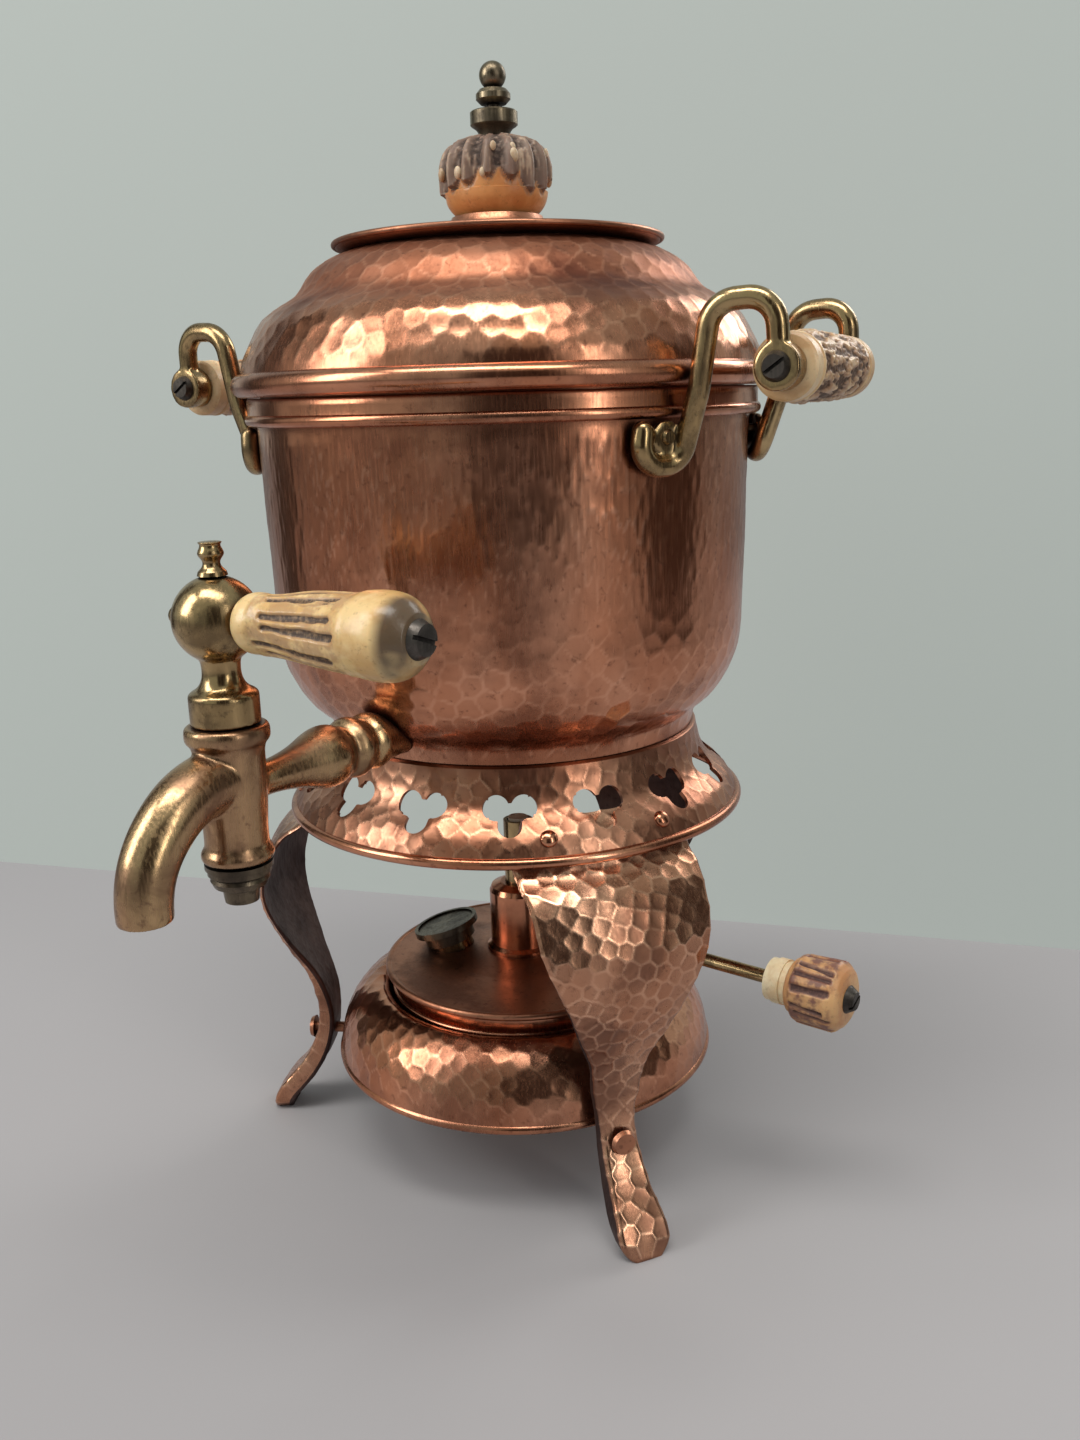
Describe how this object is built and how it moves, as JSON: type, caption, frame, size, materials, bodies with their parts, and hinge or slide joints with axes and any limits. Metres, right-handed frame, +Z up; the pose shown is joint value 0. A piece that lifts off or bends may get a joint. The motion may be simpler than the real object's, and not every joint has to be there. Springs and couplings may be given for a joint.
{
  "type": "spirit urn",
  "caption": "Hammered copper spirit urn on a pierced three-legged stand, with a wick burner, antler grips and a brass tap with a turning lever.",
  "frame": {"origin": "on the urn's axis at the height of the table, in the middle of the three feet", "axes": "+Z up along the urn's axis, -Y towards the tap, +X towards the burner's regulator knob"},
  "size_m": [0.2508, 0.2758, 0.3731],
  "materials": {
    "copper": "polished",
    "brass": "satin",
    "dark_brass": "satin",
    "dark_steel": "satin",
    "antler": "satin",
    "bone": "satin",
    "wick": "matte",
    "gasket": "matte"
  },
  "bodies": {
    "stand": {"gallery": "copper", "leg_left": "copper", "leg_right": "copper", "leg_back": "copper", "gallery_rivets": "copper", "dish": "copper", "dish_studs": "copper"},
    "burner": {"burner_reservoir": "copper", "burner_top": "copper", "wick_housing": "copper", "wick_guide": "brass", "filler_neck": "brass", "regulator_gland": "brass"},
    "wick_body": {"wick": "wick"},
    "regulator": {"regulator_rod": "brass", "regulator_pinion": "brass", "regulator_collar": "bone", "regulator_knob": "antler", "regulator_screw": "dark_steel"},
    "filler_cap_body": {"filler_cap": "dark_brass"},
    "urn": {"urn_body": "copper", "handle_bracket_right_front": "brass", "handle_bracket_right_back": "brass", "handle_bracket_left_front": "brass", "handle_bracket_left_back": "brass", "handle_grip_right": "antler", "handle_grip_left": "antler", "handle_rods": "brass", "handle_screws": "dark_steel", "handle_rivets": "brass", "tap_body": "brass", "tap_gasket": "gasket", "tap_back_nut": "brass"},
    "tap_key": {"tap_plug": "brass", "tap_finial": "brass", "tap_lever_rod": "brass", "tap_lever_grip": "antler", "tap_lever_screw": "dark_steel", "tap_washer": "brass", "tap_nut": "brass"},
    "dome": {"dome_lid": "copper"},
    "lid": {"small_lid": "copper", "lid_burr": "antler", "lid_finial": "dark_brass", "lid_nut": "brass"}
  },
  "joints": [
    {"name": "urn_lift", "type": "slide", "parent": "stand", "child": "urn", "axis": [0, 0, 1], "range_m": [0, 0.06]},
    {"name": "dome_lift", "type": "slide", "parent": "urn", "child": "dome", "axis": [0, 0, 1], "range_m": [0, 0.05]},
    {"name": "small_lid_lift", "type": "slide", "parent": "dome", "child": "lid", "axis": [0, 0, 1], "range_m": [0, 0.04]},
    {"name": "tap_turn", "type": "hinge", "parent": "urn", "child": "tap_key", "pos_m": [0, -0.135, 0.2], "axis": [0, 0, -1], "range_deg": [0, 90]},
    {"name": "burner_lift", "type": "slide", "parent": "stand", "child": "burner", "axis": [0, 0, 1], "range_m": [0, 0.018]},
    {"name": "regulator_turn", "type": "hinge", "parent": "burner", "child": "regulator", "pos_m": [0.00045, 0.00643, 0.08], "axis": [-0.9976, 0.0698, 0], "range_deg": [0, 150]},
    {"name": "wick_lift", "type": "slide", "parent": "burner", "child": "wick_body", "axis": [0, 0, 1], "range_m": [0, 0.00685]},
    {"name": "filler_cap_lift", "type": "slide", "parent": "burner", "child": "filler_cap_body", "axis": [-0.2556, -0.1033, 0.9613], "range_m": [0, 0.008]}
  ],
  "couplings": [
    {"joint": "wick_lift", "follows": "regulator_turn", "m_per_rad": 0.0026}
  ]
}
